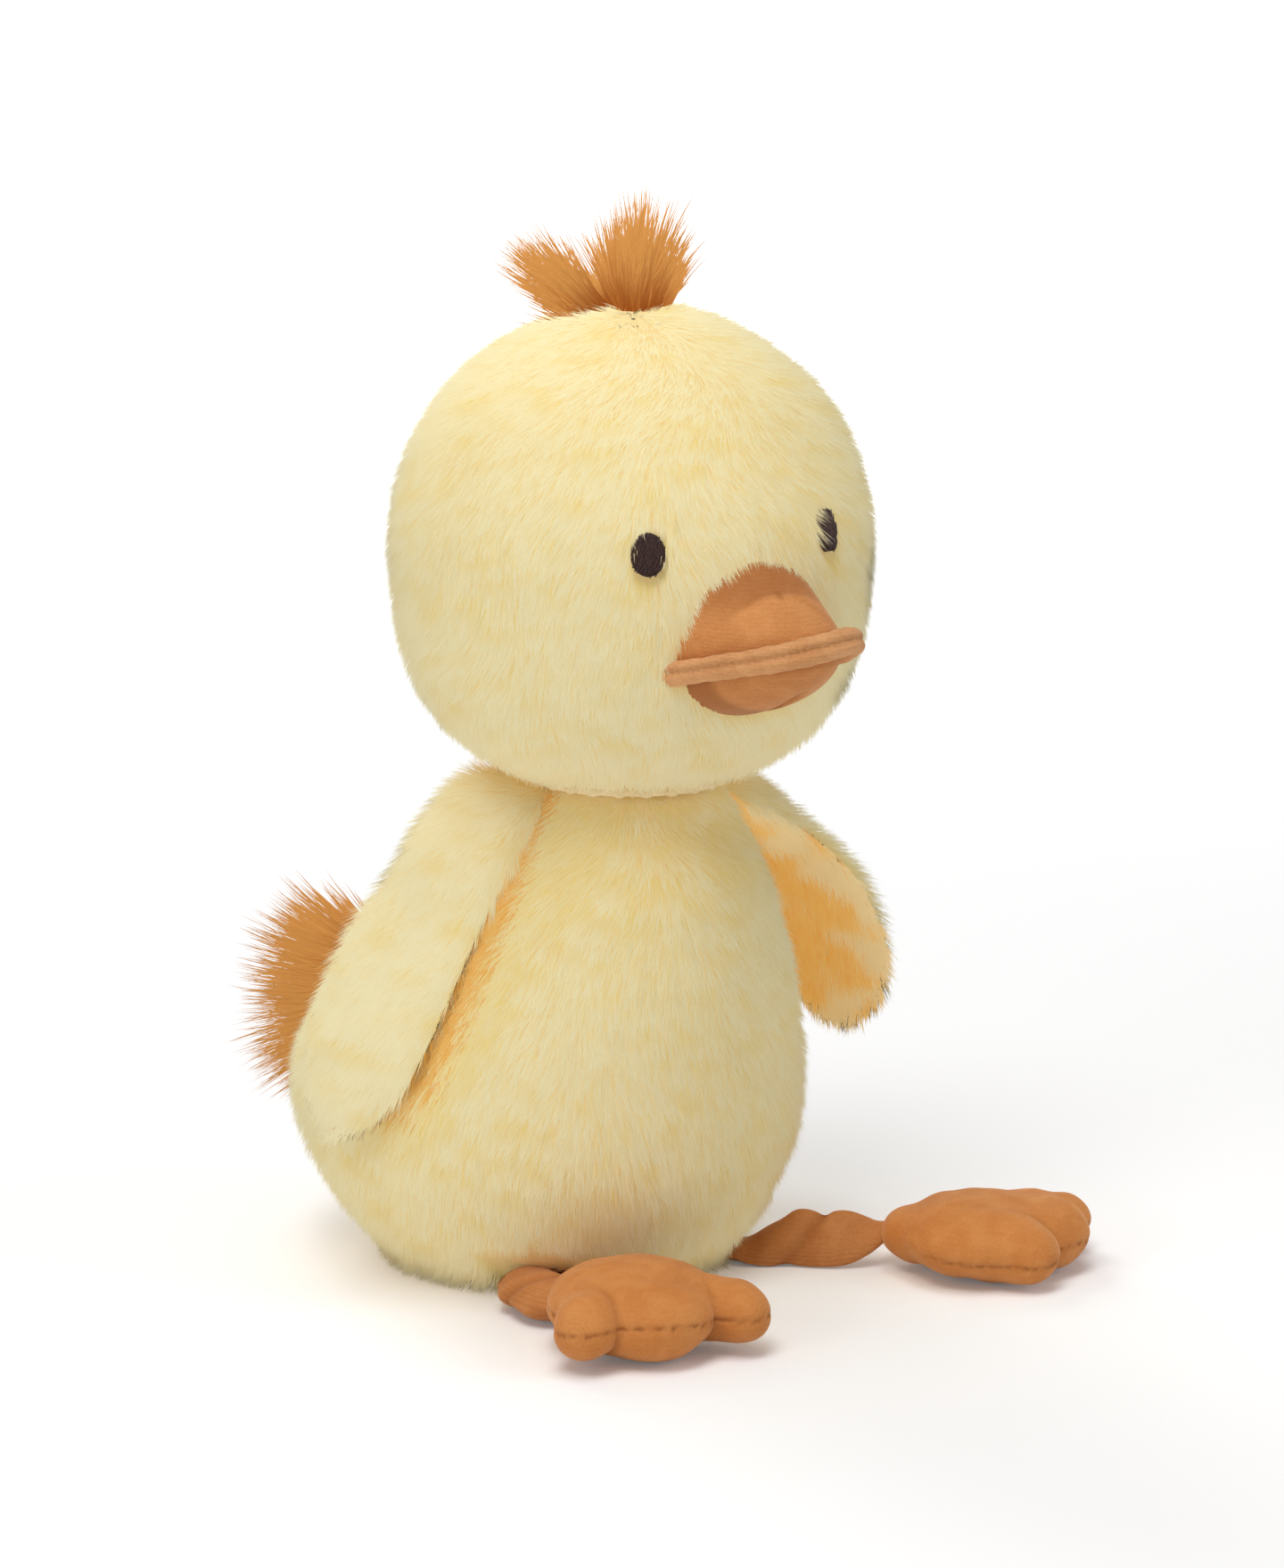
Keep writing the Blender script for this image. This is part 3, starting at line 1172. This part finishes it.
legLook = dict(napLook, deep=(0.46, 0.155, 0.038), pale=(0.66, 0.29, 0.10))
legNap = napMaterial("legNap", legLook, [("rib", 0.30, 0.8, 2 * math.pi, 10.0), ("fold", 0.35, 0.0)])


def makeLeg(side, sign):
    bearing = math.radians(legFacts["bearing"][side])
    ahead = np.array((math.sin(bearing), -math.cos(bearing), 0))
    outward = np.array((ahead[1], -ahead[0], 0)) * -sign
    up = np.array((0, 0, 1.0))
    route = np.array(legFacts[side])
    keyed = np.column_stack([np.arange(len(route)), route])
    fine = smoothTable(keyed, np.linspace(0, len(route) - 1, 60))
    centres = (np.outer(fine[:, 0], ahead) + np.outer(fine[:, 1], outward)) * legFacts["length"][side]
    halfWide, halfThick = legFacts["width"] / 2, legFacts["thickness"][side] / 2
    turns = fullTurn(48)
    spread = squared(np.cos(turns), 0.85)
    lens = np.sin(turns) * (1 - 0.35 * np.cos(turns) ** 2)
    rings, ribs = [], []

    def addRing(centre, heading, roll, wide, thick):
        square = np.array((-heading[1], heading[0], 0))
        across = (square * math.cos(roll) + up * math.sin(roll)) * wide
        over = (up * math.cos(roll) - square * math.sin(roll)) * thick
        rings.append(centre + np.outer(spread, across) + np.outer(lens, over))
        ribs.append(spread * wide)

    first = unit(centres[1] - centres[0])
    for step in range(1, 10):  # the rounded end below the body
        turn = math.radians(9 * step)
        centre = up * halfThick - first * halfWide * math.cos(turn)
        addRing(centre, first, 0, halfWide * math.sin(turn), halfThick * math.sin(turn))
    headings = unit(np.gradient(centres, axis=0))
    for centre, heading, (lift, roll, girth) in zip(centres, headings, fine[:, 2:]):
        roll, wide = math.radians(roll), halfWide * girth
        rest = math.hypot(wide * math.sin(roll), halfThick * math.cos(roll))
        high = rest + (legFacts["ankle"] - rest) * lift
        addRing(centre + up * high, heading, roll, wide, halfThick)
    leg = closedTube(np.array(rings) + jointPlace[f"leg_{side}_swing"])
    rows = np.repeat(np.linspace(-0.15, 1, len(rings)), len(turns))
    slant = rows - 0.40 - 0.10 * np.tile(np.cos(turns), len(rings))
    fold = np.append(bell(slant, 0.05), (0, 0))
    shift = 0.0004 * softNoise(leg["points"], 0.011, 6) - 0.0009 * fold
    leg = onFloor(leg, leg["points"] + leg["normals"] * shift[:, None], limbGap)
    values = {"rib": np.append(ribs, (0, 0)) / legFacts["ribStep"] + 10, "fold": fold}
    name, body = f"legTube{side.title()}", f"leg_{side}_tube"
    makePiece(name, leg, legNap, body, [f"leg_{side}"], values)


for side, sign in sides.items():
    makeLeg(side, sign)
print("feet and legs done")

# closing stitches round the neck
stitchFacts = {"inset": 0.0011, "radius": 0.00075, "swell": 0.0003, "sway": 0.0002, "rate": 22}


def makeNeckStitches():
    low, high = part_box("neck_seam")
    centre = np.array((low + high) / 2)
    ring = float(high.x - low.x) / 2 - stitchFacts["inset"]
    alongs, turns = fullTurn(360), fullTurn(10)
    rings = []
    for along in alongs:
        outward = np.array((math.cos(along), math.sin(along), 0))
        wave = math.sin(along * stitchFacts["rate"])
        thick = stitchFacts["radius"] + stitchFacts["swell"] * abs(wave)
        place = centre + outward * ring + (0, 0, stitchFacts["sway"] * wave)
        rings.append(place + oval(turns, outward * thick, (0, 0, thick)))
    index = np.arange(len(alongs) * len(turns)).reshape(len(alongs), len(turns))
    nextRow, after = np.roll(index, -1, axis=0), np.roll(index, -1, axis=1)
    quads = np.stack([index, nextRow, np.roll(nextRow, -1, axis=1), after], -1).reshape(-1, 4)
    surface = {"points": np.vstack(rings), "faces": quads.tolist()}
    threadLook = dict(backingLook, deep=(0.80, 0.60, 0.30), pale=(0.92, 0.76, 0.46))
    seamThread = napMaterial("seamThread", threadLook)
    makePiece("neckStitches", surface, seamThread, "neck", ["neck_seam"])


makeNeckStitches()

# what stays hidden inside keeps its CAD node
insideLooks = {
    "looseFibre": {"deep": (0.80, 0.80, 0.78), "pale": (0.94, 0.94, 0.92)},
    "pouchCloth": {"deep": (0.66, 0.60, 0.50), "pale": (0.80, 0.75, 0.65)},
}
insideNodes = {"looseFibre": ("body_filling", "head_filling"), "pouchCloth": ("pellet_bag",)}
for name, look in insideLooks.items():
    material = napMaterial(name, dict(backingLook, **look))
    for nodeName in insideNodes[name]:
        node = frame["nodes"][nodeName]
        node.data.materials.clear()
        node.data.materials.append(material)
print("inside dressed")

# studio
studioFacts = {
    "key": {"place": (-0.85, -0.60, 1.70), "size": 0.9, "power": 12.6},
    "top": {"place": (-0.10, -0.30, 2.10), "size": 1.1, "power": 10.8},
    "near": {"place": (-1.75, -0.35, 0.55), "size": 0.9, "power": 5.8},
    "fill": {"place": (0.95, -1.25, 0.75), "size": 1.0, "power": 4.3},
    "back": {"place": (0.2, 1.35, 1.2), "size": 0.9, "power": 9.0},
    "aim": (0, -0.02, 0.12),
    "sky": 0.24,
    "floor": (0.93, 0.93, 0.93),
    "floorHalf": 6.0,
    "floorGlow": (0.22, 2.2, 0.10, 1.0),  # from and to these distances, from and to these strengths
}


def makeLamps(facts):
    for name in ("key", "top", "near", "fill", "back"):
        lamp = bpy.data.lights.new(name + "Light", "AREA")
        lamp.shape = "DISK"
        lamp.size = facts[name]["size"]
        lamp.energy = facts[name]["power"]
        holder = addObject(name + "Light", lamp)
        holder.location = facts[name]["place"]
        aim = Vector(facts["aim"]) - holder.location
        holder.rotation_mode = "QUATERNION"
        holder.rotation_quaternion = aim.to_track_quat("-Z", "Y")


def makeWorld(facts):  # a soft sky, which is plain white where it is seen
    world = bpy.data.worlds.new("studioWorld")
    bpy.context.scene.world = world
    world.use_nodes = True
    tree = world.node_tree
    tree.nodes.clear()
    path = addNode(tree, "ShaderNodeLightPath").outputs
    shown = mathNode(tree, "MAXIMUM", path["Is Camera Ray"], path["Is Glossy Ray"])
    shown = mathNode(tree, "MAXIMUM", shown, path["Is Transmission Ray"])
    inputs = {0: shown}
    for place, strength in ((1, facts["sky"]), (2, 1.0)):
        sky = {"Color": (1, 1, 1), "Strength": strength}
        inputs[place] = addNode(tree, "ShaderNodeBackground", sky).outputs[0]
    mix = addNode(tree, "ShaderNodeMixShader", inputs)
    addNode(tree, "ShaderNodeOutputWorld", {0: mix.outputs[0]})


def makeFloor(facts):  # it glows softly away from the object, where it is seen
    wide = facts["floorHalf"]
    mesh = bpy.data.meshes.new("studioFloor")
    corners = [(-wide, -wide, 0), (wide, -wide, 0), (wide, wide, 0), (-wide, wide, 0)]
    mesh.from_pydata(corners, [], [(0, 1, 2, 3)])
    finish = {"Roughness": 0.9, "Specular IOR Level": 0.0, "Base Color": facts["floor"]}
    material, tree, shader = newMaterial("studioFloor", finish)
    place = addNode(tree, "ShaderNodeTexCoord").outputs["Object"]
    reach = addNode(tree, "ShaderNodeVectorMath", {0: place}, operation="LENGTH").outputs["Value"]
    lifted = ranged(tree, reach, *facts["floorGlow"])
    seen = addNode(tree, "ShaderNodeLightPath").outputs["Is Camera Ray"]
    glow = mathNode(tree, "MULTIPLY", seen, lifted)
    fillInputs(tree, shader, {"Emission Strength": glow, "Emission Color": (1, 1, 1)})
    mesh.materials.append(material)
    addObject("studioFloor", mesh)


makeLamps(studioFacts)
makeWorld(studioFacts)
makeFloor(studioFacts)
bpy.context.scene.view_settings.view_transform = "Standard"
print("studio ready")
